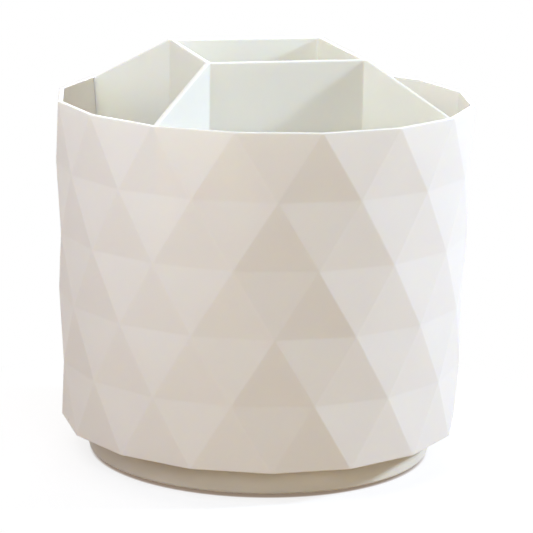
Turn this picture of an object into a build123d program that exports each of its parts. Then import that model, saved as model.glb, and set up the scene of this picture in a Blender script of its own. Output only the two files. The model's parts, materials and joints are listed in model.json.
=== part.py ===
from build123d import *
from math import cos, radians
import os

# Rotating pen holder, in millimetres. +Z is up, the turning axis is Z, and the desk is at z = 0.
# A faceted drum with a five-way divider turns on a ball ring that runs on a low round base.

# Faceted drum: level rings of corners, each ring turned half a side from the one above it
side_count = 16
band_count = 5
band_height = 19.5
rim_corner_radius = 62.0
drum_taper = 2.4
drum_wall = 1.5
lip_wall = 1.4
lip_chamfer = 0.4
hem_chamfer = 0.5
drum_floor = 2.4
hem_overlap = 1.8

# Divider insert: an open square tower with a sloping divider from each corner to the rim
corner_count = 4
tower_width = 47.6
tower_rise = 14.0
divider_wall = 1.5
divider_gap = 0.35
divider_fillet = 0.8
divider_edge_round = 0.4
boss_radius = 3.2
boss_height = 12.0
boss_hole_spare = 1.0

# Ball ring: two grooved steel races, the balls between them and the cage that spaces them
ball_count = 16
ball_diameter = 5.0
ball_clearance = 0.1
race_gap = 2.8
race_width = 8.0
race_thickness = 2.2
race_proud = 0.6
cage_thickness = 1.8
cage_width = 7.0
pocket_clearance = 0.2

# Turntable plate under the drum, with the hub that turns in the base, and the drum's screws
turntable_gap = 3.0
turntable_thickness = 3.0
hub_radius = 7.0
drum_screw_margin = 4.4
drum_screw_race_gap = 0.8
drum_screw_radius = 1.5
drum_screw_length = 12.0
drum_screw_head_radius = 3.0
drum_screw_head_height = 1.8

# Pivot under the base deck: one screw holds the washers against the end of the hub
pivot_screw_radius = 2.0
pivot_screw_length = 10.0
pivot_head_radius = 4.0
pivot_head_height = 2.2
pivot_head_room = 0.8
pivot_hole_spare = 0.6
lock_washer_radius = 3.8
lock_washer_thickness = 0.8
lock_washer_split = 0.6
pivot_washer_radius = 11.0
pivot_washer_thickness = 1.0
slip_washer_radius = 12.0
slip_washer_thickness = 0.6
end_play = 0.2

# Base shell, with the bush for the hub pressed into its deck
skirt_gap = 4.4
base_draft = 0.6
base_wall = 2.2
base_deck = 3.0
base_top_chamfer = 1.0
base_foot_chamfer = 0.5
bush_wall = 2.0
bush_flange_width = 2.5
bush_flange_thickness = 1.0

# Base plate that closes the base from below, its screws and the feet
base_plate_thickness = 2.0
base_screw_margin = 13.2
base_screw_radius = 1.4
base_screw_length = 6.5
base_screw_head_radius = 2.8
base_screw_head_height = 1.4
base_boss_radius = 3.4
base_hole_spare = 0.4
foot_margin = 3.2
foot_radius = 6.0
foot_thickness = 2.0
foot_recess = 1.0
foot_chamfer = 0.4

# Fits: a running fit for the hub, a close one for seats and an open one round screws
running_clearance = 0.05
seat_clearance = 0.1
screw_clearance = 0.2
overrun = 1.0

# Heights of the stack, from the desk up
base_bottom = foot_thickness - foot_recess
base_plate_top = base_bottom + base_plate_thickness
base_screw_tip = base_bottom + base_screw_length
pivot_head_bottom = base_plate_top + pivot_head_room
lock_washer_bottom = pivot_head_bottom + pivot_head_height
pivot_washer_bottom = lock_washer_bottom + lock_washer_thickness
hub_end = pivot_washer_bottom + pivot_washer_thickness
slip_washer_top = hub_end + slip_washer_thickness
deck_bottom = slip_washer_top + end_play
base_top = deck_bottom + base_deck
bush_top = base_top + bush_flange_thickness
lower_race_top = base_top + race_proud
upper_race_bottom = lower_race_top + race_gap
ball_height = (lower_race_top + upper_race_bottom) / 2
turntable_bottom = upper_race_bottom + race_proud
drum_screw_seat = turntable_bottom + drum_screw_head_height
drum_screw_tip = drum_screw_seat + drum_screw_length
pivot_screw_tip = lock_washer_bottom + pivot_screw_length
floor_bottom = turntable_bottom + turntable_thickness
floor_top = floor_bottom + drum_floor
hem_height = base_top - hem_overlap
rim_height = hem_height + band_count * band_height
first_ring_height = rim_height - band_height
tower_top = rim_height + tower_rise

# Radii and angles that follow from the sizes above
side_angle = 360 / side_count
corner_angle = 360 / corner_count
corner_turn = corner_angle / 2
side_middle_share = cos(radians(side_angle / 2))
diagonal_share = 2 ** 0.5
round_limit_share = 0.45
ball_radius = ball_diameter / 2
groove_radius = ball_radius + ball_clearance
lip_inner_radius = rim_corner_radius - lip_wall
hem_corner_radius = rim_corner_radius - drum_taper
skirt_radius = (hem_corner_radius * side_middle_share - drum_wall) * side_middle_share
tower_inside = tower_width - 2 * divider_wall
tower_corner_radius = tower_width / diagonal_share
turntable_radius = skirt_radius - turntable_gap
drum_screw_circle = turntable_radius - drum_screw_margin
drum_screw_sink_radius = drum_screw_head_radius + screw_clearance
race_radius = drum_screw_circle - drum_screw_sink_radius - drum_screw_race_gap
ball_pitch_radius = race_radius - race_width / 2
bush_bore_radius = hub_radius + running_clearance
bush_radius = bush_bore_radius + bush_wall
base_radius = skirt_radius - skirt_gap
base_inner_radius = base_radius - base_wall
base_screw_circle = base_inner_radius - base_screw_margin
foot_circle = base_inner_radius - foot_margin - foot_radius
on_base = (Align.CENTER, Align.CENTER, Align.MIN)


def disc(radius, low, high):
    """A round plug on the turning axis between two heights."""
    return Pos(0, 0, low) * Cylinder(radius, high - low, align=on_base)


def cone(low_radius, high_radius, low, high):
    """A round plug with slanted sides on the turning axis between two heights."""
    return Pos(0, 0, low) * Cone(low_radius, high_radius, high - low, align=on_base)


def ring(outer, inner, low, high):
    """A flat ring on the turning axis between two heights."""
    return disc(outer, low, high) - disc(inner, low - overrun, high + overrun)


def copies(piece, count, radius, turn=0):
    """Copies of a piece, spaced evenly round the turning axis."""
    return [place * piece for place in PolarLocations(radius, count, start_angle=turn)]


def under_dividers(piece):
    """Copies of a piece at the drum's screws, one under each divider."""
    return copies(piece, corner_count, drum_screw_circle, corner_turn)


def drum_ring_radius(level):
    """Corner radius of the drum at a ring of corners, counted from the rim down."""
    return rim_corner_radius + (hem_corner_radius - rim_corner_radius) * level / band_count


def drum_inner_radius(height):
    """Corner radius of the drum's smooth inner wall, below the band under the rim."""
    first = drum_ring_radius(1) * side_middle_share - drum_wall
    last = drum_ring_radius(band_count) * side_middle_share - drum_wall
    return last + (first - last) * (height - hem_height) / (first_ring_height - hem_height)


def corner_ring(radius, height, level):
    """The corners of one level ring, turned half a side for each ring below the rim."""
    corner = Vector(radius, 0, height)
    return [corner.rotate(Axis.Z, (side + level / 2) * side_angle) for side in range(side_count)]


def polygon_face(*corners):
    """A flat face through its corners."""
    return Face(Wire.make_polygon(corners, close=True))


def facet_band(upper, lower):
    """Triangles between two rings of corners: one points down and one points up at each side."""
    facets = []
    for side in range(side_count):
        after = (side + 1) % side_count
        facets.append(polygon_face(upper[side], upper[after], lower[side]))
        facets.append(polygon_face(lower[side], lower[after], upper[after]))
    return facets


def chamfer_band(edge, cap):
    """Narrow flats between a ring of corners and the smaller face that ends the drum."""
    flats = []
    for side in range(side_count):
        after = (side + 1) % side_count
        flats.append(polygon_face(edge[side], edge[after], cap[after], cap[side]))
    return flats


def faceted_block():
    """The drum's outside as one solid: bands of triangles, with a chamfer at rim and hem."""
    heights = [rim_height - level * band_height for level in range(band_count + 1)]
    heights[0] -= lip_chamfer
    heights[-1] += hem_chamfer
    rings = [corner_ring(drum_ring_radius(n), height, n) for n, height in enumerate(heights)]
    rim = corner_ring(rim_corner_radius - lip_chamfer, rim_height, 0)
    hem = corner_ring(hem_corner_radius - hem_chamfer, hem_height, band_count)
    faces = [polygon_face(*rim), polygon_face(*hem)]
    faces += chamfer_band(rings[0], rim) + chamfer_band(rings[-1], hem)
    for upper, lower in zip(rings, rings[1:]):
        faces += facet_band(upper, lower)
    return Solid(Shell(faces))


def sided_hollow(*sections):
    """A straight-sided hollow through level polygons, each given as a corner radius and a height."""
    polygons = [Pos(0, 0, height) * RegularPolygon(radius, side_count) for radius, height in sections]
    return loft(polygons, ruled=True)


def faceted_drum():
    """Drum with a smooth inner wall, a thin lip, a floor and an open skirt under the floor."""
    cup = sided_hollow(
        (drum_inner_radius(floor_top), floor_top),
        (drum_inner_radius(first_ring_height), first_ring_height),
        (lip_inner_radius, rim_height - lip_chamfer),
        (lip_inner_radius + lip_chamfer + overrun, rim_height + overrun),
    )
    skirt = sided_hollow(
        (drum_inner_radius(hem_height - overrun), hem_height - overrun),
        (drum_inner_radius(floor_bottom), floor_bottom),
    )
    hole = disc(drum_screw_radius + screw_clearance, floor_bottom - overrun, floor_top + overrun)
    return faceted_block() - cup - skirt - under_dividers(hole)


def divider_plan():
    """Level section of the tower and its dividers, with the corners between them rounded."""
    plan = Rectangle(tower_width, tower_width)
    divider = Rectangle(rim_corner_radius, divider_wall)
    plan += copies(divider, corner_count, rim_corner_radius / 2, corner_turn)
    plan -= Rectangle(tower_inside, tower_inside)
    divider_ends = 2 * corner_count
    joints = plan.vertices().sort_by_distance((0, 0, 0))[:-divider_ends]
    return fillet(joints, divider_fillet)


def divider_slab():
    """What one pair of dividers keeps: upright along the drum's wall, sloping from rim to tower."""
    half = [
        (drum_inner_radius(floor_top) - divider_gap, floor_top),
        (drum_inner_radius(first_ring_height) - divider_gap, first_ring_height),
        (lip_inner_radius - divider_gap, rim_height),
        (tower_corner_radius, tower_top),
    ]
    right = [(radius, 0, height) for radius, height in half]
    left = [(-radius, 0, height) for radius, height in reversed(half)]
    return extrude(make_face(Polyline(*right, *left, close=True)), rim_corner_radius, both=True)


def divider_insert():
    """Square tower and four dividers in one moulding, with a screw boss in each divider's foot."""
    insert = Pos(0, 0, floor_top) * extrude(divider_plan(), tower_top - floor_top)
    slab = divider_slab()
    insert &= Rot(0, 0, corner_turn) * slab
    insert &= Rot(0, 0, -corner_turn) * slab
    top_edges = [edge for edge in insert.edges() if edge.center().Z > rim_height - overrun]
    insert = fillet(top_edges, min(divider_edge_round, round_limit_share * divider_wall))
    boss = disc(boss_radius, floor_top, floor_top + boss_height)
    hole = disc(drum_screw_radius + seat_clearance, floor_top - overrun, drum_screw_tip + boss_hole_spare)
    return insert + under_dividers(boss) - under_dividers(hole)


def drum_screws():
    """Four pan-head screws that clamp plate, drum and insert together."""
    head = disc(drum_screw_head_radius, turntable_bottom, drum_screw_seat)
    screw = head + disc(drum_screw_radius, drum_screw_seat, drum_screw_tip)
    return Compound(children=under_dividers(screw))


def race_seat(low, high):
    """The ring-shaped pocket that a race is pressed into."""
    return ring(race_radius + seat_clearance, race_radius - race_width - seat_clearance, low, high)


def race(low):
    """A steel ring with a round groove that the balls run in."""
    blank = ring(race_radius, race_radius - race_width, low, low + race_thickness)
    return blank - Pos(0, 0, ball_height) * Torus(ball_pitch_radius, groove_radius)


def turntable_plate():
    """Round plate with the hub below it, the upper race's seat and the drum screws' holes."""
    plate = disc(turntable_radius, turntable_bottom, floor_bottom)
    plate += disc(hub_radius, hub_end, turntable_bottom)
    plate -= race_seat(turntable_bottom - overrun, upper_race_bottom + race_thickness)
    plate -= disc(pivot_screw_radius + seat_clearance, hub_end - overrun, pivot_screw_tip + pivot_hole_spare)
    hole = disc(drum_screw_radius + screw_clearance, turntable_bottom, floor_bottom + overrun)
    hole += disc(drum_screw_sink_radius, turntable_bottom - overrun, drum_screw_seat)
    return plate - under_dividers(hole)


def bearing_balls():
    """The ring of loose balls."""
    ball = Pos(0, 0, ball_height) * Sphere(ball_radius)
    return Compound(children=copies(ball, ball_count, ball_pitch_radius))


def ball_cage():
    """Flat ring with a pocket for each ball."""
    half = cage_width / 2
    low = ball_height - cage_thickness / 2
    high = ball_height + cage_thickness / 2
    cage = ring(ball_pitch_radius + half, ball_pitch_radius - half, low, high)
    pocket = disc(ball_radius + pocket_clearance, low - overrun, high + overrun)
    return cage - copies(pocket, ball_count, ball_pitch_radius)


def pivot_screw():
    """Pan-head screw driven up into the end of the hub."""
    head = disc(pivot_head_radius, pivot_head_bottom, lock_washer_bottom)
    return head + disc(pivot_screw_radius, lock_washer_bottom, pivot_screw_tip)


def screw_washer(radius, low, high):
    """A washer round the pivot screw."""
    return ring(radius, pivot_screw_radius + screw_clearance, low, high)


def lock_washer():
    """Split spring washer on the pivot screw's head."""
    split = Box(
        lock_washer_radius + overrun,
        lock_washer_split,
        lock_washer_thickness,
        align=(Align.MIN, Align.CENTER, Align.MIN),
    )
    washer = screw_washer(lock_washer_radius, lock_washer_bottom, pivot_washer_bottom)
    return washer - Pos(0, 0, lock_washer_bottom) * split


def pivot_bush():
    """Flanged sleeve in the base deck that the hub turns in."""
    sleeve = disc(bush_radius, deck_bottom, base_top)
    flange = disc(bush_radius + bush_flange_width, base_top, bush_top)
    return sleeve + flange - disc(bush_bore_radius, deck_bottom - overrun, bush_top + overrun)


def base_shell():
    """Round shell, open below, with the lower race's seat in its deck and bosses for the plate's screws."""
    shell = cone(base_radius, base_radius - base_draft, base_bottom, base_top)
    shell = chamfer(shell.edges().filter_by(GeomType.CIRCLE).sort_by(Axis.Z)[-1], base_top_chamfer)
    shell = chamfer(shell.edges().filter_by(GeomType.CIRCLE).sort_by(Axis.Z)[0], base_foot_chamfer)
    shell -= disc(base_inner_radius, base_bottom - overrun, deck_bottom)
    shell -= disc(bush_radius + seat_clearance, deck_bottom - overrun, base_top + overrun)
    shell -= race_seat(lower_race_top - race_thickness, base_top + overrun)
    boss = disc(base_boss_radius, base_plate_top, deck_bottom)
    hole_top = base_screw_tip + base_hole_spare
    hole = disc(base_screw_radius + seat_clearance, base_plate_top - overrun, hole_top)
    shell += copies(boss, corner_count, base_screw_circle)
    return shell - copies(hole, corner_count, base_screw_circle)


def countersunk_shape(spare):
    """Cone-headed screw on the turning axis, or the hole that takes it with some spare all round."""
    head_top = base_bottom + base_screw_head_height
    head = cone(base_screw_head_radius + spare, base_screw_radius + spare, base_bottom, head_top)
    return head + disc(base_screw_radius + spare, base_bottom, base_screw_tip)


def base_plate_screws():
    """Four countersunk screws, flush with the plate's underside."""
    return Compound(children=copies(countersunk_shape(0), corner_count, base_screw_circle))


def base_plate():
    """Disc that closes the base, countersunk for its screws and recessed for the feet."""
    plate = disc(base_inner_radius - seat_clearance, base_bottom, base_plate_top)
    plate -= copies(countersunk_shape(seat_clearance), corner_count, base_screw_circle)
    recess = disc(foot_radius + seat_clearance, base_bottom - overrun, base_bottom + foot_recess)
    return plate - copies(recess, corner_count, foot_circle, corner_turn)


def rubber_foot():
    """Round pad with a softened lower edge."""
    pad = disc(foot_radius, 0, foot_thickness)
    return chamfer(pad.edges().filter_by(GeomType.CIRCLE).sort_by(Axis.Z)[0], foot_chamfer)


parts = {
    "faceted_drum": faceted_drum(),
    "divider_insert": divider_insert(),
    "turntable_plate": turntable_plate(),
    "drum_screws": drum_screws(),
    "upper_race": race(upper_race_bottom),
    "pivot_screw": pivot_screw(),
    "lock_washer": lock_washer(),
    "pivot_washer": screw_washer(pivot_washer_radius, pivot_washer_bottom, hub_end),
    "slip_washer": ring(slip_washer_radius, bush_bore_radius, hub_end, slip_washer_top),
    "bearing_balls": bearing_balls(),
    "ball_cage": ball_cage(),
    "base_shell": base_shell(),
    "lower_race": race(lower_race_top - race_thickness),
    "pivot_bush": pivot_bush(),
    "base_plate": base_plate(),
    "base_plate_screws": base_plate_screws(),
}
for number, foot in enumerate(copies(rubber_foot(), corner_count, foot_circle, corner_turn), start=1):
    parts[f"rubber_foot_{number}"] = foot

os.makedirs("parts", exist_ok=True)
for name, shape in parts.items():
    export_step(shape, f"parts/{name}.step")
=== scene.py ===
import json
from math import cos, pi, radians, sin, sqrt, tan

import bmesh
import bpy
from mathutils import Matrix, Vector


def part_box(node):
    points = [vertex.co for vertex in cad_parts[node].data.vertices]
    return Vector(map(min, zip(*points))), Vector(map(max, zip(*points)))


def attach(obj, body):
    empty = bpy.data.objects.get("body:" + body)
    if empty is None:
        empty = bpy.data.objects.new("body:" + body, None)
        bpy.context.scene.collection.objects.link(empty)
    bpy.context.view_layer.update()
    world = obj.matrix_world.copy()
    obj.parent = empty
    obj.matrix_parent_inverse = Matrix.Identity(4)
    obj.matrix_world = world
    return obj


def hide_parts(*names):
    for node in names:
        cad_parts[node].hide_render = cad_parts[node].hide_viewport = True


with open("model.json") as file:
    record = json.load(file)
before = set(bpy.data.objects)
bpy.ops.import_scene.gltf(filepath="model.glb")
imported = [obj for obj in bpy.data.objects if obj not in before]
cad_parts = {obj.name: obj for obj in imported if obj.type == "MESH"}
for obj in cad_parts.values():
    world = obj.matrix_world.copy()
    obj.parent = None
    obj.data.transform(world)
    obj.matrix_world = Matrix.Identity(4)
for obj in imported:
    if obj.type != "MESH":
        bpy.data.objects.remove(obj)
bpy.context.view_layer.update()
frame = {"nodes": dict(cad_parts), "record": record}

# Rotating pen holder, in metres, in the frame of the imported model: +Z is up along the turning axis.

# Places that the frame gives
drum_low, drum_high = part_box("faceted_drum")
insert_low, insert_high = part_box("divider_insert")
turntable_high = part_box("turntable_plate")[1]
lower_race_low, lower_race_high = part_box("lower_race")
balls_low, balls_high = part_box("bearing_balls")
base_low, base_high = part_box("base_shell")
cover_low, cover_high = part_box("base_plate")
bush_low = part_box("pivot_bush")[0]
lock_washer_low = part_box("lock_washer")[0]
drum_screws_low, drum_screws_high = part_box("drum_screws")
cover_screws_low, cover_screws_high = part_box("base_plate_screws")
pivot_screw_low, pivot_screw_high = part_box("pivot_screw")
foot_low, foot_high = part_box("rubber_foot_1")

# Fits: a running fit for the hub, a close one for seats and an open one round screws
running_clearance = 0.00005
seat_clearance = 0.0001
screw_clearance = 0.0002

# Cuts and joints: how far a tool runs past a face, and how near points are when they are welded afterwards
overrun = 0.001
weld_distance = 0.000001

# Faceted drum
side_count = 16
band_count = 5
drum_taper = 0.0024
drum_wall = 0.0015
lip_wall = 0.0014
facet_round = 0.0003
rim_radius = drum_high.x
rim_height = drum_high.z
hem_height = drum_low.z
hem_radius = rim_radius - drum_taper
lip_inner_radius = rim_radius - lip_wall
floor_top = insert_low.z
floor_bottom = turntable_high.z
band_height = (rim_height - hem_height) / band_count
first_ring_height = rim_height - band_height
side_angle = 2 * pi / side_count
side_middle_share = cos(side_angle / 2)

# Divider insert
corner_count = 4
tower_width = 0.0476
divider_wall = 0.0015
divider_gap = 0.0002
divider_fillet = 0.0008
divider_edge_round = 0.0005
boss_radius = 0.0032
boss_height = 0.012
boss_hole_spare = 0.001
tower_top = insert_high.z
slope_start = tower_width / sqrt(2)
corner_angle = 2 * pi / corner_count
corner_turn = corner_angle / 2

# Base shell, the plate that closes it and the feet
base_draft = 0.0006
base_wall = 0.0022
base_top_round = 0.0012
base_foot_round = 0.0007
hub_radius = 0.007
bush_wall = 0.002
race_width = 0.008
base_boss_radius = 0.0034
cover_edge_round = 0.0003
foot_edge_round = 0.0005
foot_recess = 0.001
base_inner_radius = cover_high.x + seat_clearance
base_radius = base_inner_radius + base_wall
bush_seat_radius = hub_radius + running_clearance + bush_wall + seat_clearance
foot_radius = (foot_high.x - foot_low.x) / 2
foot_circle = (foot_high.x - foot_radius) * sqrt(2)
foot_top_round = foot_edge_round / 2

# Loose balls between the races
ball_count = 16
ball_radius = (balls_high.z - balls_low.z) / 2
ball_circle = balls_high.x - ball_radius

# Screws, with a cross recess and a thread
drum_screw_radius = 0.0015
drum_screw_head_radius = 0.003
drum_screw_head_height = 0.0018
pivot_screw_radius = 0.002
pivot_head_radius = pivot_screw_high.x
cover_screw_radius = 0.0014
cover_screw_head_radius = 0.0028
cover_screw_head_height = 0.0014
thread_pitch = 0.0011
thread_depth = 0.0002
thread_tip = 0.0012
thread_point_share = 0.25
thread_flat_share = 0.5
head_crown_share = 0.5
head_round_share = 0.6
recess_arms = 4
recess_depth = 0.0011
recess_wing = 0.0006
recess_reach_share = 0.55
recess_foot_share = 0.45
recess_narrow_share = 0.7
drum_screw_circle = (drum_screws_high.x - drum_screw_head_radius) * sqrt(2)
cover_screw_circle = cover_screws_high.x - cover_screw_head_radius

# Steps of the rounded forms, the folds that are not rounded or stay sharp, and how level a top face is
round_steps = 4
ring_steps = 128
foot_steps = 64
screw_steps = 32
ball_steps = 32
thread_rows = 6
smallest_fold = radians(1)
sharpest_smooth_fold = radians(40)
level_face_share = 0.5

# Camera, as fitted to the corners of the facets, and the size of the picture
picture_width = 533
focal_pixels = 2500
sensor_width = 36
nearest_view = 0.01
camera_azimuth = radians(-15.14)
camera_reach = 0.7298
camera_side = 0.0014
camera_rise = 0.1190
camera_tilt = radians(13.15)
camera_roll = radians(1.20)

# Plastic: its shine, the light that wanders under its surface, and how grain and rubbed edges change it
plastic_shine = 0.3
plastic_glow = 0.55
plastic_glow_tint = (1, 0.85, 0.5)
plastic_glow_depth = 0.002
plastic_smoother = 0.03
plastic_rougher = 0.05
plastic_edge_polish = 0.12
plastic_edge_shade = 0.9

# Effects: the detail of each noise, the range of it that counts, and the least share that it leaves
grain_detail = 2.0
ripple_detail = 1.0
drift_detail = 3.0
patch_detail = 2.0
clump_detail = 3.0
clumps_in_reach = 3.0
grain_range = (0.1, 0.4)
cloud_range = (0.3, 0.7)
patch_range = (0.35, 0.65)
fold_range = (0.04, 0.4)
hidden_range = (0.75, 0.25)
patch_least = 0.4
clump_least = 0.5
speck_least = 0.5
probe_rays = 6

# Numbers of the colour sockets of a Mix node
mix_share, mix_first, mix_second, mix_result = 0, 6, 7, 2

# Floor: the light that it throws back, the shadow on it and the painted shadow under the base; the room's
# light
floor_half_width = 4
floor_drop = 0.00005
floor_bounce = (0.60, 0.44, 0.28, 1)
shadow_grey = 0.25
shadow_lift = 0.80
shadow_near = 0.06
shadow_far = 0.12
painted_contact_shadow = (0.25, 0.19, 0.145, 1)
contact_blur = 0.0015
room_light = 0.06


def polar(radius, angle, height):
    """The point at a radius, an angle round the turning axis and a height."""
    return Vector((radius * cos(angle), radius * sin(angle), height))


def corner_ring(mesh, radius, height, level=0):
    """Corners of one level ring of the drum, turned half a side for each level below the rim."""
    angles = [(side + level / 2) * side_angle for side in range(side_count)]
    return [mesh.verts.new(polar(radius, angle, height)) for angle in angles]


def band(mesh, first, second):
    """Four-sided faces between two rings whose points are in line."""
    for n in range(len(first)):
        mesh.faces.new((first[n - 1], first[n], second[n], second[n - 1]))


def upright(mesh, low, high):
    """Faces between two open lines of points, one above the other."""
    for n in range(1, len(low)):
        mesh.faces.new((low[n - 1], low[n], high[n], high[n - 1]))


def facet_band(mesh, upper, lower):
    """Triangles between two rings of corners, the lower one half a side further round."""
    for side in range(side_count):
        after = (side + 1) % side_count
        mesh.faces.new((upper[side], upper[after], lower[side]))
        mesh.faces.new((lower[side], lower[after], upper[after]))


def soften(mesh, edges, radius):
    """Rounds the given edges."""
    bmesh.ops.bevel(
        mesh,
        geom=list(edges),
        offset=radius,
        offset_type="OFFSET",
        segments=round_steps - 1,
        profile=0.5,
        affect="EDGES",
        clamp_overlap=False,
    )


def combined(mesh, tool, operation):
    """One closed mesh cut by another, or joined with it."""
    made = []
    for source in (mesh, tool):
        bmesh.ops.recalc_face_normals(source, faces=source.faces)
        data = bpy.data.meshes.new("combining")
        source.to_mesh(data)
        source.free()
        made.append(bpy.data.objects.new("combining", data))
        bpy.context.scene.collection.objects.link(made[-1])
    target, other = made
    modifier = target.modifiers.new("combine", "BOOLEAN")
    modifier.operation = operation
    modifier.solver = "EXACT"
    modifier.object = other
    result = bmesh.new()
    result.from_object(target, bpy.context.evaluated_depsgraph_get())
    for temporary in made:
        data = temporary.data
        bpy.data.objects.remove(temporary)
        bpy.data.meshes.remove(data)
    bmesh.ops.remove_doubles(result, verts=result.verts, dist=weld_distance)
    return result


def piece(name, mesh, body, slot, *nodes):
    """Makes a mesh into a piece that rides on a body and stands for its CAD nodes."""
    bmesh.ops.recalc_face_normals(mesh, faces=mesh.faces)
    data = bpy.data.meshes.new(name)
    mesh.to_mesh(data)
    mesh.free()
    data.shade_smooth()
    data.set_sharp_from_angle(angle=sharpest_smooth_fold)
    data.materials.append(finishes[slot])
    made = bpy.data.objects.new(name, data)
    bpy.context.scene.collection.objects.link(made)
    shading = made.modifiers.new("even_shading", "WEIGHTED_NORMAL")
    shading.keep_sharp = True
    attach(made, body)
    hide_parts(*nodes)


# Lathe work


def rounded(corners):
    """An outline of radius and height, with an arc at each corner that has a third number, its round."""
    outline = []
    for n, corner in enumerate(corners):
        here = Vector(corner[:2])
        if len(corner) < 3:
            outline.append(here)
            continue
        radius = corner[2]
        before = (Vector(corners[n - 1][:2]) - here).normalized()
        after = (Vector(corners[(n + 1) % len(corners)][:2]) - here).normalized()
        half = before.angle(after) / 2
        middle = here + (before + after).normalized() * radius / sin(half)
        start = here + before * radius / tan(half) - middle
        end = here + after * radius / tan(half) - middle
        for step in range(round_steps + 1):
            share = step / round_steps
            outline.append(middle + (start * (1 - share) + end * share).normalized() * radius)
    return outline


def turned(outline, closed, steps=ring_steps, centre=Vector((0, 0, 0))):
    """A round solid from its outline; a closed one gives a ring, an open one starts and ends on the axis."""
    mesh = bmesh.new()
    rings = []
    for radius, height in outline:
        if radius > 0:
            angles = [2 * pi * n / steps for n in range(steps)]
            rings.append([mesh.verts.new(centre + polar(radius, angle, height)) for angle in angles])
        else:
            rings.append([mesh.verts.new(centre + Vector((0, 0, height)))])
    pairs = list(zip(rings, rings[1:]))
    if closed:
        pairs.append((rings[-1], rings[0]))
    for first, second in pairs:
        if len(first) == len(second):
            band(mesh, first, second)
        else:
            tip, ring = sorted((first, second), key=len)
            for n in range(steps):
                mesh.faces.new((tip[0], ring[n - 1], ring[n]))
    return mesh


def plug(radius, low, high, steps=screw_steps):
    """A plain round plug on the turning axis."""
    return turned([(0, low), (radius, low), (radius, high), (0, high)], closed=False, steps=steps)


def round_copies(mesh, radius, turn=0):
    """Four copies of a mesh spaced evenly round the turning axis, in one mesh."""
    data = bpy.data.meshes.new("copying")
    mesh.to_mesh(data)
    mesh.free()
    copies = bmesh.new()
    for n in range(corner_count):
        spot = Matrix.Rotation(turn + n * corner_angle, 4, "Z") @ Matrix.Translation((radius, 0, 0))
        old = len(copies.verts)
        copies.from_mesh(data)
        copies.verts.ensure_lookup_table()
        bmesh.ops.transform(copies, matrix=spot, verts=copies.verts[old:])
    bpy.data.meshes.remove(data)
    return copies


# Drum


def drum_inner_radius(height):
    """Corner radius of the drum's smooth inner wall below the band under the rim."""
    first = (rim_radius - drum_taper / band_count) * side_middle_share - drum_wall
    last = hem_radius * side_middle_share - drum_wall
    return last + (first - last) * (height - hem_height) / (first_ring_height - hem_height)


def drum_mesh():
    """Net of triangles outside, smooth wall inside, a thin lip, a floor and an open skirt below it."""
    mesh = bmesh.new()
    levels = range(band_count + 1)
    radii = [rim_radius - drum_taper * level / band_count for level in levels]
    rings = [corner_ring(mesh, radii[n], rim_height - n * band_height, n) for n in levels]
    for upper, lower in zip(rings, rings[1:]):
        facet_band(mesh, upper, lower)
    lip = corner_ring(mesh, lip_inner_radius, rim_height)
    shoulder = corner_ring(mesh, drum_inner_radius(first_ring_height), first_ring_height)
    floor = corner_ring(mesh, drum_inner_radius(floor_top), floor_top)
    band(mesh, rings[0], lip)
    band(mesh, lip, shoulder)
    band(mesh, shoulder, floor)
    mesh.faces.new(floor)
    ceiling = corner_ring(mesh, drum_inner_radius(floor_bottom), floor_bottom, band_count - 1)
    hem = corner_ring(mesh, drum_inner_radius(hem_height), hem_height, band_count - 1)
    mesh.faces.new(ceiling)
    band(mesh, ceiling, hem)
    facet_band(mesh, hem, rings[-1])
    bmesh.ops.recalc_face_normals(mesh, faces=mesh.faces)
    soften(mesh, [edge for edge in mesh.edges if edge.calc_face_angle() > smallest_fold], facet_round)
    hole = plug(drum_screw_radius + screw_clearance, floor_bottom - overrun, floor_top + overrun)
    return combined(mesh, round_copies(hole, drum_screw_circle, corner_turn), "DIFFERENCE")


# Divider insert


def arc(centre, radius, start, end):
    """Points along an arc in plan, from one angle to another."""
    angles = [start + (end - start) * step / round_steps for step in range(round_steps + 1)]
    return [centre + radius * Vector((cos(angle), sin(angle))) for angle in angles]


def insert_corner_plan():
    """Plan of one corner: from one wall round the divider's start to the other, and the inside fillet."""
    half = tower_width / 2
    inside = half - divider_wall - divider_fillet
    middle = half + divider_fillet
    centre = Vector((middle, middle - (divider_wall / 2 + divider_fillet) * sqrt(2)))
    right = arc(centre, divider_fillet, pi, pi - corner_turn)
    left = [point.yx for point in reversed(right)]
    start = [point.xy for point in across_divider(slope_start, 0)]
    return right + start + left, arc(Vector((inside, inside)), divider_fillet, 0, corner_angle)


def across_divider(radius, height):
    """The two points across the first divider at a radius and a height, right one first."""
    along = polar(radius, corner_turn, height)
    across = polar(divider_wall / 2, corner_turn + pi / 2, 0)
    return along - across, along + across


def insert_corner(mesh, turn):
    """Points of one corner: outside and inside lines at foot and top, and pairs up the divider's end."""
    spin = Matrix.Rotation(turn, 4, "Z")
    plans = insert_corner_plan()
    foot, top = [
        [[mesh.verts.new(spin @ Vector((*point, height))) for point in plan] for plan in plans]
        for height in (floor_top, tower_top)
    ]
    ends = [
        across_divider(drum_inner_radius(floor_top) - divider_gap, floor_top),
        across_divider(drum_inner_radius(first_ring_height) - divider_gap, first_ring_height),
        across_divider(lip_inner_radius - divider_gap, rim_height),
    ]
    return foot, top, [[mesh.verts.new(spin @ point) for point in pair] for pair in ends]


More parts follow.
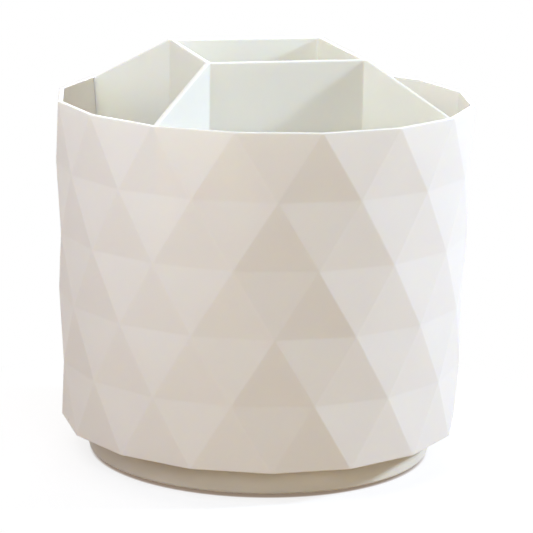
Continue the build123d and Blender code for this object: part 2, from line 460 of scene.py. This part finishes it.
def insert_walls():
    """Square tower and four sloping dividers, with their joints rounded in plan."""
    mesh = bmesh.new()
    corners = [insert_corner(mesh, n * corner_angle) for n in range(corner_count)]
    right_start = round_steps + 1
    left_start = right_start + 1
    for n, (foot, top, ends) in enumerate(corners):
        (foot_outside, foot_inside), (top_outside, top_inside) = foot, top
        upright(mesh, foot_outside[:right_start], top_outside[:right_start])
        upright(mesh, foot_outside[left_start + 1:], top_outside[left_start + 1:])
        upright(mesh, foot_inside, top_inside)
        for lower, upper in zip(ends, ends[1:]):
            upright(mesh, lower, upper)
        for side, start, fillet_end in ((0, right_start, right_start - 1), (1, left_start, left_start + 1)):
            low = [foot_outside[fillet_end], foot_outside[start]]
            high = [top_outside[start], top_outside[fillet_end]]
            mesh.faces.new(low + [pair[side] for pair in ends] + high)
        last_foot, last_top = corners[n - 1][:2]
        levels = ((foot, last_foot, ends[0]), (top, last_top, ends[-1]))
        for (outside, inside), (last_outside, last_inside), end in levels:
            mesh.faces.new(outside + inside[::-1])
            mesh.faces.new((outside[right_start], end[0], end[1], outside[left_start]))
            mesh.faces.new((last_outside[-1], outside[0], inside[0], last_inside[-1]))
        for line in (0, 1):
            upright(mesh, (last_foot[line][-1], foot[line][0]), (last_top[line][-1], top[line][0]))
    bmesh.ops.recalc_face_normals(mesh, faces=mesh.faces)
    return mesh


def insert_mesh():
    """Tower and dividers with soft top edges, and a screw boss in the foot of each divider."""
    mesh = insert_walls()
    top_edges = [
        edge for edge in mesh.edges
        if sorted(face.normal.z > level_face_share for face in edge.link_faces) == [False, True]
    ]
    soften(mesh, top_edges, divider_edge_round)
    boss = plug(boss_radius, floor_top, floor_top + boss_height)
    mesh = combined(mesh, round_copies(boss, drum_screw_circle, corner_turn), "UNION")
    hole_top = drum_screws_high.z + boss_hole_spare
    hole = plug(drum_screw_radius + seat_clearance, floor_top - overrun, hole_top)
    return combined(mesh, round_copies(hole, drum_screw_circle, corner_turn), "DIFFERENCE")


# Base, the plate under it and the feet


def base_mesh():
    """Round shell open below, with the race's seat in its deck and bosses for the plate's screws."""
    deck_bottom = bush_low.z
    deck_top = base_high.z
    seat_outer = lower_race_high.x + seat_clearance
    seat_inner = lower_race_high.x - race_width - seat_clearance
    outline = rounded([
        (base_inner_radius, base_low.z),
        (base_radius, base_low.z, base_foot_round),
        (base_radius - base_draft, deck_top, base_top_round),
        (seat_outer, deck_top),
        (seat_outer, lower_race_low.z),
        (seat_inner, lower_race_low.z),
        (seat_inner, deck_top),
        (bush_seat_radius, deck_top),
        (bush_seat_radius, deck_bottom),
        (base_inner_radius, deck_bottom, base_foot_round),
    ])
    mesh = turned(outline, closed=True)
    boss = plug(base_boss_radius, cover_high.z, deck_bottom + overrun)
    mesh = combined(mesh, round_copies(boss, cover_screw_circle), "UNION")
    hole_top = cover_screws_high.z + screw_clearance
    hole = plug(cover_screw_radius + seat_clearance, cover_high.z - overrun, hole_top)
    return combined(mesh, round_copies(hole, cover_screw_circle), "DIFFERENCE")


def cover_mesh():
    """Disc that closes the base, countersunk for its screws and recessed for the feet."""
    outline = rounded([
        (0, cover_low.z),
        (cover_high.x, cover_low.z, cover_edge_round),
        (cover_high.x, cover_high.z, cover_edge_round),
        (0, cover_high.z),
    ])
    mesh = turned(outline, closed=False)
    head = cover_screw_head_radius + seat_clearance
    shank = cover_screw_radius + seat_clearance
    sink = turned([
        (0, cover_low.z - overrun),
        (head, cover_low.z - overrun),
        (head, cover_low.z),
        (shank, cover_low.z + cover_screw_head_height),
        (shank, cover_high.z + overrun),
        (0, cover_high.z + overrun),
    ], closed=False, steps=screw_steps)
    mesh = combined(mesh, round_copies(sink, cover_screw_circle), "DIFFERENCE")
    recess = plug(foot_radius + seat_clearance, cover_low.z - overrun, cover_low.z + foot_recess, foot_steps)
    return combined(mesh, round_copies(recess, foot_circle, corner_turn), "DIFFERENCE")


def foot_mesh(low, high):
    """Round pad with a soft lower edge, between the corners of its box."""
    outline = rounded([
        (0, low.z),
        (foot_radius, low.z, foot_edge_round),
        (foot_radius, high.z, foot_top_round),
        (0, high.z),
    ])
    centre = (low + high) / 2
    return turned(outline, closed=False, steps=foot_steps, centre=Vector((centre.x, centre.y, 0)))


def ball_mesh():
    """The ring of loose balls, in one mesh."""
    mesh = bmesh.new()
    for n in range(ball_count):
        centre = polar(ball_circle, n * 2 * pi / ball_count, balls_low.z + ball_radius)
        bmesh.ops.create_uvsphere(
            mesh,
            u_segments=ball_steps,
            v_segments=ball_steps // 2,
            radius=ball_radius,
            matrix=Matrix.Translation(centre),
        )
    return mesh


# Screws


def threaded_rings(radius, low, high):
    """Rings up a threaded shank, each a height and a radius for every step round."""
    rows = round(thread_rows * (high - low) / thread_pitch)
    rings = []
    for row in range(rows + 1):
        height = low + (high - low) * row / rows
        taper = min(1, (high - height) / thread_tip + thread_point_share)
        radii = []
        for step in range(screw_steps):
            phase = (height / thread_pitch - step / screw_steps) % 1
            ridge = max(0, (abs(2 * phase - 1) - thread_flat_share) / (1 - thread_flat_share))
            radii.append((radius - thread_depth * (1 - ridge)) * taper)
        rings.append((height, radii))
    return rings


def cross_cutter(low, reach):
    """A cross that narrows inwards, to cut the recess into a head from below."""
    cutter = bmesh.new()
    mouth = (low - overrun, reach, recess_wing)
    foot = (low + recess_depth, reach * recess_foot_share, recess_wing * recess_narrow_share)
    levels = []
    for height, wing, width in (mouth, foot):
        ring = []
        for n in range(recess_arms):
            spin = Matrix.Rotation(n * 2 * pi / recess_arms, 3, "Z")
            for across, along in ((wing, -width), (wing, width), (width, width)):
                ring.append(cutter.verts.new(spin @ Vector((across, along, height))))
        levels.append(ring)
        cutter.faces.new(ring)
    band(cutter, *levels)
    return cutter


def screw_mesh(head_outline, radius, seat, tip):
    """A screw on the turning axis, head down, from its head's outline, with its thread and cross recess."""
    mesh = bmesh.new()
    rings = [(height, [ring_radius] * screw_steps) for ring_radius, height in head_outline]
    rings += threaded_rings(radius, seat, tip)
    made = []
    for height, radii in rings:
        points = [polar(radii[n], 2 * pi * n / screw_steps, height) for n in range(screw_steps)]
        made.append([mesh.verts.new(point) for point in points])
    for first, second in zip(made, made[1:]):
        band(mesh, first, second)
    mesh.faces.new(made[0])
    mesh.faces.new(made[-1])
    head_radius = max(ring_radius for ring_radius, height in head_outline)
    return combined(mesh, cross_cutter(head_outline[0][1], head_radius * recess_reach_share), "DIFFERENCE")


def pan_head(radius, low, seat):
    """Outline of a rounded head, from its crown to its seat."""
    head_round = (seat - low) * head_round_share
    return rounded([(radius * head_crown_share, low), (radius, low, head_round), (radius, seat)])


def drum_screw_mesh():
    """The four screws that clamp plate, drum and insert."""
    seat = drum_screws_low.z + drum_screw_head_height
    head = pan_head(drum_screw_head_radius, drum_screws_low.z, seat)
    screw = screw_mesh(head, drum_screw_radius, seat, drum_screws_high.z)
    return round_copies(screw, drum_screw_circle, corner_turn)


def pivot_screw_mesh():
    """The screw that holds the drum down on the base."""
    seat = lock_washer_low.z
    head = pan_head(pivot_head_radius, pivot_screw_low.z, seat)
    return screw_mesh(head, pivot_screw_radius, seat, pivot_screw_high.z)


def cover_screw_mesh():
    """The four countersunk screws, flush with the plate's underside."""
    seat = cover_screws_low.z + cover_screw_head_height
    head = [(cover_screw_head_radius, cover_screws_low.z), (cover_screw_radius, seat)]
    screw = screw_mesh(head, cover_screw_radius, seat, cover_screws_high.z)
    return round_copies(screw, cover_screw_circle)


# Shader nodes


def add(tree, kind, inputs=None, **settings):
    """A node with its settings, and its sockets either set or joined to another node."""
    made = tree.nodes.new(kind)
    for name, value in settings.items():
        setattr(made, name, value)
    for name, value in (inputs or {}).items():
        if isinstance(value, bpy.types.NodeSocket):
            tree.links.new(value, made.inputs[name])
        else:
            made.inputs[name].default_value = value
    return made


def sum_of(tree, operation, *values, clamp=False):
    """The result of one arithmetic node."""
    made = add(tree, "ShaderNodeMath", dict(enumerate(values)), operation=operation, use_clamp=clamp)
    return made.outputs[0]


def ramp(tree, value, low, high, to_low=0.0, to_high=1.0):
    """A value carried smoothly from one range to another."""
    inputs = {"Value": value, "From Min": low, "From Max": high, "To Min": to_low, "To Max": to_high}
    return add(tree, "ShaderNodeMapRange", inputs, interpolation_type="SMOOTHSTEP").outputs[0]


def mixed(tree, share, first, second):
    """One colour laid over another by a share."""
    inputs = {mix_share: share, mix_first: first, mix_second: second}
    return add(tree, "ShaderNodeMix", inputs, data_type="RGBA").outputs[mix_result]


def noise(tree, size, detail):
    """Cloudy noise, in the piece's own metres, with clouds of a given size."""
    position = add(tree, "ShaderNodeTexCoord").outputs["Object"]
    inputs = {"Vector": position, "Scale": sum_of(tree, "DIVIDE", 1.0, size), "Detail": detail}
    return add(tree, "ShaderNodeTexNoise", inputs).outputs[0]


# Effects that several finishes share


def effect(name, inputs, outputs):
    """An empty node group with named inputs, each with a first value, and named outputs."""
    kinds = {float: "NodeSocketFloat", tuple: "NodeSocketColor"}
    group = bpy.data.node_groups.new(name, "ShaderNodeTree")
    for label, value in inputs.items():
        socket = group.interface.new_socket(label, in_out="INPUT", socket_type=kinds[type(value)])
        socket.default_value = value
    for label, kind in outputs.items():
        group.interface.new_socket(label, in_out="OUTPUT", socket_type=kinds[kind])
    return group, add(group, "NodeGroupInput").outputs, add(group, "NodeGroupOutput").inputs


def join(group, value, socket):
    """Leads a value out of a node group."""
    group.links.new(value, socket)


def surface_grain_effect():
    """Fine grain from the mould and a faint ripple under it, as a height in metres and a mask."""
    inputs = {"Grain Size": 0.0006, "Grain Depth": 0.000003, "Ripple Size": 0.006, "Ripple Depth": 0.00001}
    group, given, result = effect("surface_grain", inputs, {"Height": float, "Mask": float})
    grain = noise(group, given["Grain Size"], grain_detail)
    ripple = noise(group, given["Ripple Size"], ripple_detail)
    fine = sum_of(group, "MULTIPLY", grain, given["Grain Depth"])
    coarse = sum_of(group, "MULTIPLY", ripple, given["Ripple Depth"])
    join(group, sum_of(group, "ADD", fine, coarse), result["Height"])
    join(group, sum_of(group, "MULTIPLY", grain, ripple), result["Mask"])
    return group


def colour_drift_effect():
    """Slow drift of the colour over a moulding."""
    inputs = {"Color": (1.0, 1.0, 1.0, 1.0), "Drift Color": (0.9, 0.9, 0.9, 1.0), "Drift Size": 0.04}
    group, given, result = effect("colour_drift", inputs, {"Color": tuple})
    share = ramp(group, noise(group, given["Drift Size"], drift_detail), *cloud_range)
    join(group, mixed(group, share, given["Color"], given["Drift Color"]), result["Color"])
    return group


def specks_effect():
    """Sparse tiny specks in the surface."""
    inputs = {
        "Color": (1.0, 1.0, 1.0, 1.0), "Speck Color": (0.3, 0.3, 0.3, 1.0),
        "Speck Spacing": 0.012, "Speck Size": 0.0002, "Speck Share": 0.3,
    }
    group, given, result = effect("specks", inputs, {"Color": tuple})
    position = add(group, "ShaderNodeTexCoord").outputs["Object"]
    cells = {"Vector": position, "Scale": sum_of(group, "DIVIDE", 1.0, given["Speck Spacing"])}
    cell = add(group, "ShaderNodeTexVoronoi", cells)
    draw = add(group, "ShaderNodeSeparateColor", {"Color": cell.outputs["Color"]}).outputs
    chosen = sum_of(group, "LESS_THAN", draw[0], given["Speck Share"])
    radius = sum_of(group, "DIVIDE", given["Speck Size"], given["Speck Spacing"])
    reach = sum_of(group, "MULTIPLY", radius, sum_of(group, "ADD", draw[1], speck_least))
    inside = sum_of(group, "LESS_THAN", cell.outputs["Distance"], reach)
    share = sum_of(group, "MULTIPLY", sum_of(group, "MULTIPLY", inside, chosen), draw[2])
    join(group, mixed(group, share, given["Color"], given["Speck Color"]), result["Color"])
    return group


def edge_polish_effect():
    """Edges that handling has rubbed lighter and smoother."""
    inputs = {
        "Color": (1.0, 1.0, 1.0, 1.0), "Edge Color": (1.0, 1.0, 1.0, 1.0),
        "Roughness": 0.5, "Edge Roughness": 0.3, "Edge Width": 0.0006, "Patch Size": 0.006,
    }
    group, given, result = effect("edge_polish", inputs, {"Color": tuple, "Roughness": float})
    softened = add(group, "ShaderNodeBevel", {"Radius": given["Edge Width"]}, samples=probe_rays).outputs[0]
    facing = add(group, "ShaderNodeNewGeometry").outputs["Normal"]
    likeness = add(group, "ShaderNodeVectorMath", {0: softened, 1: facing}, operation="DOT_PRODUCT")
    fold = sum_of(group, "ARCCOSINE", sum_of(group, "MINIMUM", likeness.outputs["Value"], 1.0))
    patches = ramp(group, noise(group, given["Patch Size"], patch_detail), *patch_range, patch_least)
    share = sum_of(group, "MULTIPLY", ramp(group, fold, *fold_range), patches, clamp=True)
    join(group, mixed(group, share, given["Color"], given["Edge Color"]), result["Color"])
    change = sum_of(group, "SUBTRACT", given["Edge Roughness"], given["Roughness"])
    join(group, sum_of(group, "MULTIPLY_ADD", change, share, given["Roughness"]), result["Roughness"])
    return group


def corner_dust_and_shade_effect():
    """Colour in inner corners, where little light gets in, turned towards a corner colour: dust that is
    lighter on dark rubber, and on light plastic a darker grey that is dust and painted shade together.
    """
    inputs = {
        "Color": (1.0, 1.0, 1.0, 1.0), "Corner Color": (0.6, 0.58, 0.54, 1.0),
        "Roughness": 0.5, "Dust Roughness": 0.8, "Corner Reach": 0.004, "Corner Share": 0.3,
    }
    group, given, result = effect("corner_dust_and_shade", inputs, {"Color": tuple, "Roughness": float})
    near = {"Distance": given["Corner Reach"]}
    corner = add(group, "ShaderNodeAmbientOcclusion", near, only_local=True, samples=probe_rays)
    hidden = ramp(group, corner.outputs["AO"], *hidden_range)
    clump_size = sum_of(group, "DIVIDE", given["Corner Reach"], clumps_in_reach)
    clumps = ramp(group, noise(group, clump_size, clump_detail), *cloud_range, clump_least)
    share = sum_of(group, "MULTIPLY", sum_of(group, "MULTIPLY", hidden, clumps), given["Corner Share"])
    # Where the corner colour is darker than the surface, this is painted shade in the occluded corners as
    # well as dust
    join(group, mixed(group, share, given["Color"], given["Corner Color"]), result["Color"])
    change = sum_of(group, "SUBTRACT", given["Dust Roughness"], given["Roughness"])
    join(group, sum_of(group, "MULTIPLY_ADD", change, share, given["Roughness"]), result["Roughness"])
    return group


surface_grain = surface_grain_effect()
colour_drift = colour_drift_effect()
specks = specks_effect()
edge_polish = edge_polish_effect()
corner_dust_and_shade = corner_dust_and_shade_effect()


def place(tree, group, inputs):
    """Puts an effect into a finish with its own values."""
    return add(tree, "ShaderNodeGroup", inputs, node_tree=group).outputs


def grained(tree, grain, smoothest, roughest):
    """A roughness that follows the grain."""
    return ramp(tree, grain["Mask"], *grain_range, smoothest, roughest)


def new_finish(name, **settings):
    """A material, its node tree and its shader with the sockets that are even all over."""
    material = bpy.data.materials.new(name)
    material.use_nodes = True
    tree = material.node_tree
    shader = tree.nodes["Principled BSDF"]
    for socket, value in settings.items():
        shader.inputs[socket.replace("_", " ").title().replace("Ior", "IOR")].default_value = value
    return material, tree, shader


def dress(tree, shader, colour, roughness, height):
    """Joins the finished colour, roughness and height to the shader."""
    tree.links.new(colour, shader.inputs["Base Color"])
    tree.links.new(roughness, shader.inputs["Roughness"])
    bump = add(tree, "ShaderNodeBump", {"Height": height, "Distance": 1.0})
    tree.links.new(bump.outputs[0], shader.inputs["Normal"])


def moulded_plastic(name, colour, drift_colour, roughness):
    """Satin moulded plastic with a fine grain, rubbed edges, a few specks, and dust and painted shade in its
    corners.
    """
    material, tree, shader = new_finish(
        name,
        specular_ior_level=plastic_shine,
        subsurface_weight=plastic_glow,
        subsurface_radius=plastic_glow_tint,
        subsurface_scale=plastic_glow_depth,
    )
    grain = place(tree, surface_grain, {"Grain Size": 0.0005, "Grain Depth": 0.000002})
    worn = grained(tree, grain, roughness - plastic_smoother, roughness + plastic_rougher)
    tone = place(tree, colour_drift, {"Color": colour, "Drift Color": drift_colour})
    marked = place(tree, specks, {"Color": tone["Color"], "Speck Color": (0.28, 0.24, 0.2, 1)})
    # Painted shade: the corner colour darkens the plastic in occluded inner corners, as dust and as the
    # shade that falls there
    corner_toned = place(tree, corner_dust_and_shade, {"Color": marked["Color"], "Roughness": worn, "Corner Share": 0.25})
    edge_colour = tuple(1 - (1 - value) * plastic_edge_shade for value in colour)
    rubbed = place(tree, edge_polish, {
        "Color": corner_toned["Color"], "Roughness": corner_toned["Roughness"],
        "Edge Color": edge_colour, "Edge Roughness": roughness - plastic_edge_polish,
    })
    dress(tree, shader, rubbed["Color"], rubbed["Roughness"], grain["Height"])
    return material


def plated_steel():
    """Bright zinc plate with a slight bloom."""
    material, tree, shader = new_finish("zinc_plate", metallic=1)
    grain = place(tree, surface_grain, {
        "Grain Size": 0.0002, "Ripple Size": 0.002, "Ripple Depth": 0.000004,
    })
    tone = place(tree, colour_drift, {
        "Color": (0.63, 0.64, 0.66, 1), "Drift Color": (0.55, 0.55, 0.55, 1), "Drift Size": 0.003,
    })
    worn = grained(tree, grain, smoothest=0.28, roughest=0.42)
    rubbed = place(tree, edge_polish, {
        "Color": tone["Color"], "Roughness": worn, "Edge Color": (0.78, 0.78, 0.79, 1),
        "Edge Roughness": 0.22, "Edge Width": 0.0002, "Patch Size": 0.002,
    })
    dress(tree, shader, rubbed["Color"], rubbed["Roughness"], grain["Height"])
    return material


def ground_steel():
    """Ground and polished steel of the races and balls."""
    material, tree, shader = new_finish("ground_steel", metallic=1)
    grain = place(tree, surface_grain, {
        "Grain Size": 0.0001, "Grain Depth": 0.0000005, "Ripple Depth": 0.000001,
    })
    tone = place(tree, colour_drift, {
        "Color": (0.58, 0.58, 0.59, 1), "Drift Color": (0.52, 0.52, 0.52, 1), "Drift Size": 0.008,
    })
    worn = grained(tree, grain, smoothest=0.14, roughest=0.24)
    dress(tree, shader, tone["Color"], worn, grain["Height"])
    return material


def natural_nylon():
    """Milky nylon of the cage, the bush and the slip washer."""
    material, tree, shader = new_finish("natural_nylon")
    grain = place(tree, surface_grain, {"Grain Size": 0.0003, "Ripple Size": 0.003})
    tone = place(tree, colour_drift, {
        "Color": (0.70, 0.67, 0.59, 1), "Drift Color": (0.64, 0.61, 0.53, 1), "Drift Size": 0.01,
    })
    worn = grained(tree, grain, smoothest=0.40, roughest=0.52)
    rubbed = place(tree, edge_polish, {
        "Color": tone["Color"], "Roughness": worn, "Edge Color": (0.76, 0.73, 0.65, 1), "Edge Width": 0.0003,
    })
    dress(tree, shader, rubbed["Color"], rubbed["Roughness"], grain["Height"])
    return material


def foot_rubber():
    """Dull black rubber that picks up dust."""
    material, tree, shader = new_finish("black_rubber", specular_ior_level=0.35)
    grain = place(tree, surface_grain, {"Grain Size": 0.0004, "Grain Depth": 0.000015, "Ripple Size": 0.003})
    tone = place(tree, colour_drift, {
        "Color": (0.022, 0.022, 0.023, 1), "Drift Color": (0.036, 0.035, 0.034, 1), "Drift Size": 0.004,
    })
    worn = grained(tree, grain, smoothest=0.62, roughest=0.8)
    corner_toned = place(tree, corner_dust_and_shade, {
        "Color": tone["Color"], "Roughness": worn, "Corner Color": (0.3, 0.28, 0.25, 1), "Corner Reach": 0.002,
    })
    rubbed = place(tree, edge_polish, {
        "Color": corner_toned["Color"], "Roughness": corner_toned["Roughness"], "Edge Color": (0.06, 0.058, 0.056, 1),
        "Edge Roughness": 0.55, "Edge Width": 0.0004, "Patch Size": 0.003,
    })
    dress(tree, shader, rubbed["Color"], rubbed["Roughness"], grain["Height"])
    return material


finishes = {
    "drum_plastic": moulded_plastic(
        "satin_drum", colour=(0.875, 0.845, 0.783, 1), drift_colour=(0.86, 0.83, 0.763, 1), roughness=0.40,
    ),
    "insert_plastic": moulded_plastic(
        "satin_insert", colour=(0.89, 0.873, 0.79, 1), drift_colour=(0.88, 0.858, 0.77, 1), roughness=0.40,
    ),
    # Painted shade: the base is the drum's white plastic, set darker and more golden to show the shade under
    # the drum's overhang
    "base_plastic": moulded_plastic(
        "satin_base_painted_shade", colour=(0.82, 0.77, 0.655, 1), drift_colour=(0.80, 0.75, 0.63, 1), roughness=0.42,
    ),
    "fastener_steel": plated_steel(),
    "bearing_steel": ground_steel(),
    "nylon": natural_nylon(),
    "foot_rubber": foot_rubber(),
}
for subpart in frame["record"]["subparts"]:
    node_finishes = frame["nodes"][subpart["node"]].data.materials
    node_finishes.clear()
    node_finishes.append(finishes[subpart["material_slot"]])

piece("drum_moulding", drum_mesh(), "drum", "drum_plastic", "faceted_drum")
piece("divider_moulding", insert_mesh(), "drum", "insert_plastic", "divider_insert")
piece("base_moulding", base_mesh(), "base", "base_plastic", "base_shell")
piece("base_cover", cover_mesh(), "base", "base_plastic", "base_plate")
for number in range(1, corner_count + 1):
    pad = f"rubber_foot_{number}"
    piece(f"foot_pad_{number}", foot_mesh(*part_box(pad)), "base", "foot_rubber", pad)
piece("ball_set", ball_mesh(), "ball_ring", "bearing_steel", "bearing_balls")
piece("drum_screw_set", drum_screw_mesh(), "drum", "fastener_steel", "drum_screws")
piece("pivot_screw_cross", pivot_screw_mesh(), "drum", "fastener_steel", "pivot_screw")
piece("cover_screw_set", cover_screw_mesh(), "base", "fastener_steel", "base_plate_screws")


# Stage: floor, world, lamps and camera


def seen_directly(tree):
    """One for rays from the camera, a reflection or a see-through surface, and otherwise zero."""
    path = add(tree, "ShaderNodeLightPath").outputs
    seen = sum_of(tree, "MAXIMUM", path["Is Camera Ray"], path["Is Glossy Ray"])
    return sum_of(tree, "MAXIMUM", seen, path["Is Transmission Ray"])


def floor_finish():
    """White to look at, with the object's shadow close by and a painted shadow under the base, and warm in
    the light that it throws back.
    """
    material, tree, shader = new_finish("pale_floor", specular_ior_level=0, emission_strength=1)
    position = add(tree, "ShaderNodeTexCoord").outputs["Object"]
    away = add(tree, "ShaderNodeVectorMath", {0: position}, operation="LENGTH").outputs["Value"]
    fade = ramp(tree, away, shadow_near, shadow_far)
    grey = ramp(tree, fade, 0.0, 1.0, shadow_grey, 0.0)
    glow = ramp(tree, fade, 0.0, 1.0, shadow_lift, 1.0)
    # Painted shadow: under the base the floor glows dark brown instead of white
    under_base = ramp(tree, away, base_radius - contact_blur, base_radius)
    light = mixed(tree, under_base, painted_contact_shadow, glow)
    tree.links.new(grey, shader.inputs["Base Color"])
    tree.links.new(light, shader.inputs["Emission Color"])
    throwing = add(tree, "ShaderNodeBsdfDiffuse", {"Color": floor_bounce})
    shaders = {0: seen_directly(tree), 1: throwing.outputs[0], 2: shader.outputs[0]}
    surface = add(tree, "ShaderNodeMixShader", shaders)
    tree.links.new(surface.outputs[0], tree.nodes["Material Output"].inputs["Surface"])
    return material


def floor_plane():
    """A wide pale floor."""
    mesh = bmesh.new()
    bmesh.ops.create_grid(mesh, x_segments=1, y_segments=1, size=floor_half_width)
    data = bpy.data.meshes.new("floor")
    mesh.to_mesh(data)
    mesh.free()
    data.materials.append(floor_finish())
    floor = bpy.data.objects.new("floor", data)
    floor.location.z = -floor_drop
    bpy.context.scene.collection.objects.link(floor)


def white_room():
    """Faint even light, with plain white behind the object."""
    world = bpy.data.worlds.new("white_room")
    bpy.context.scene.world = world
    world.use_nodes = True
    tree = world.node_tree
    background = tree.nodes["Background"]
    background.inputs["Color"].default_value = (1, 1, 1, 1)
    strength = sum_of(tree, "MULTIPLY_ADD", seen_directly(tree), 1 - room_light, room_light)
    tree.links.new(strength, background.inputs["Strength"])


def lamp(name, azimuth, elevation, reach, width, power, colour):
    """A soft square lamp aimed at the middle of the drum; its azimuth is from the camera, to the right."""
    light = bpy.data.lights.new(name, "AREA")
    light.shape = "SQUARE"
    light.size = width
    light.energy = power
    light.color = colour
    made = bpy.data.objects.new(name, light)
    target = Vector((0, 0, (drum_low.z + drum_high.z) / 2))
    angle = camera_azimuth + radians(azimuth)
    rise = radians(elevation)
    away = Vector((sin(angle) * cos(rise), -cos(angle) * cos(rise), sin(rise)))
    made.location = target + away * reach
    made.rotation_mode = "QUATERNION"
    made.rotation_quaternion = away.to_track_quat("Z", "Y")
    bpy.context.scene.collection.objects.link(made)


def photo_camera():
    """The camera at the photograph's viewing angle."""
    data = bpy.data.cameras.new("photo_camera")
    data.sensor_width = sensor_width
    data.lens = focal_pixels / picture_width * sensor_width
    data.clip_start = nearest_view
    camera = bpy.data.objects.new("photo_camera", data)
    bpy.context.scene.collection.objects.link(camera)
    turn = Matrix.Rotation(camera_azimuth, 4, "Z")
    spot = turn @ Vector((camera_side, -camera_reach, rim_height + camera_rise))
    aim = Matrix.Rotation(pi / 2 - camera_tilt, 4, "X") @ Matrix.Rotation(camera_roll, 4, "Z")
    camera.matrix_world = Matrix.Translation(spot) @ turn @ aim
    bpy.context.scene.camera = camera


floor_plane()
white_room()
lamp("key_lamp", azimuth=93, elevation=27, reach=0.75, width=0.08, power=5.6, colour=(0.66, 0.785, 1.0))
lamp("front_lamp", azimuth=7, elevation=20, reach=0.75, width=0.3, power=1.38, colour=(0.985, 0.98, 1.0))
lamp("low_left_lamp", azimuth=-60, elevation=16, reach=0.35, width=0.15, power=0.18, colour=(0.78, 0.8, 1.0))
lamp("left_lamp", azimuth=-42, elevation=46, reach=0.35, width=0.2, power=0.53, colour=(0.78, 0.87, 1.0))
lamp("rear_left_lamp", azimuth=-125, elevation=51, reach=0.5, width=0.3, power=0.54, colour=(1, 0.78, 0.54))
lamp("back_lamp", azimuth=178, elevation=15, reach=0.75, width=0.3, power=1.9, colour=(0.93, 0.95, 1.0))
lamp("high_right_lamp", azimuth=125, elevation=62, reach=0.5, width=0.3, power=0.36, colour=(1.0, 0.82, 0.6))
photo_camera()
bpy.context.scene.view_settings.view_transform = "Standard"
